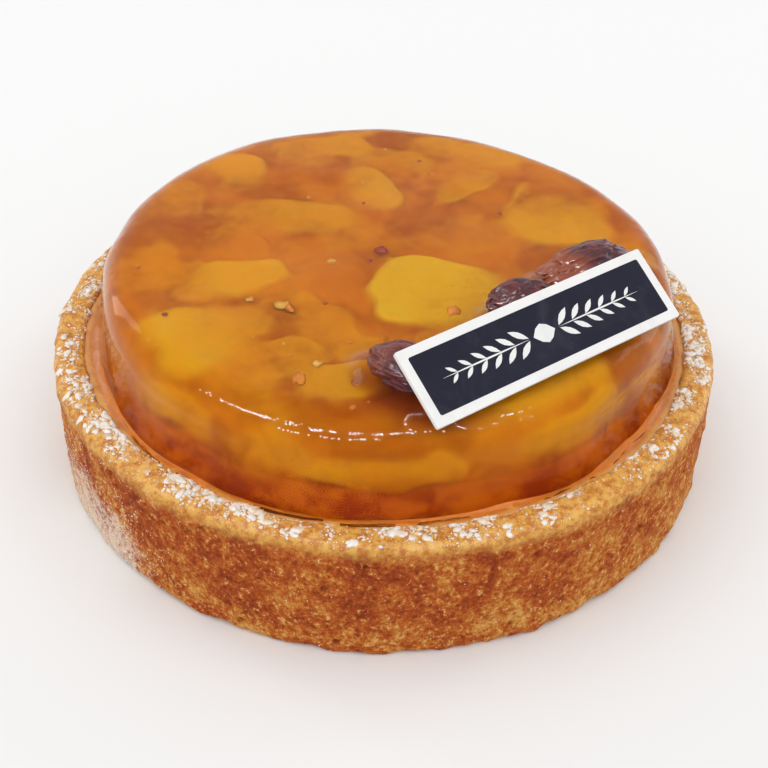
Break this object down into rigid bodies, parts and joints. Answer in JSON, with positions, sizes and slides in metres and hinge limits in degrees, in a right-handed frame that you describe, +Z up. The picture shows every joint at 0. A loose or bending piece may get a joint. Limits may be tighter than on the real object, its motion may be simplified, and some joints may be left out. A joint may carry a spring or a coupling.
{
  "type": "apple tart",
  "caption": "Individual round apple tart: straight shortcrust shell with almond cream, a thick jellied fruit disc on top, dried fruit and a small leaning card.",
  "frame": {"origin": "centre of the round base, on the surface the tart stands on", "axes": "+Z up along the tart's axis; the card's front edge faces -Y and +X"},
  "size_m": [0.0802, 0.0799, 0.0317],
  "materials": {
    "shortcrust": "baked shortcrust pastry: matt, pitted, red-brown with golden patches and a lighter rim",
    "cream": "baked almond cream, wet with glaze where it shows",
    "jelly": "clear amber jelly full of cooked fruit pieces, very glossy",
    "dried_fruit": "wrinkled dark red dried fruit with a thin clear glaze",
    "card": "glossy near-black card with a white border"
  },
  "bodies": {
    "root": {"pastry_shell": "shortcrust", "almond_cream": "cream", "apple_disc": "jelly", "dried_fruit_left": "dried_fruit", "dried_fruit_small": "dried_fruit", "dried_fruit_middle": "dried_fruit", "dried_fruit_right": "dried_fruit", "plaque": "card"}
  },
  "joints": []
}
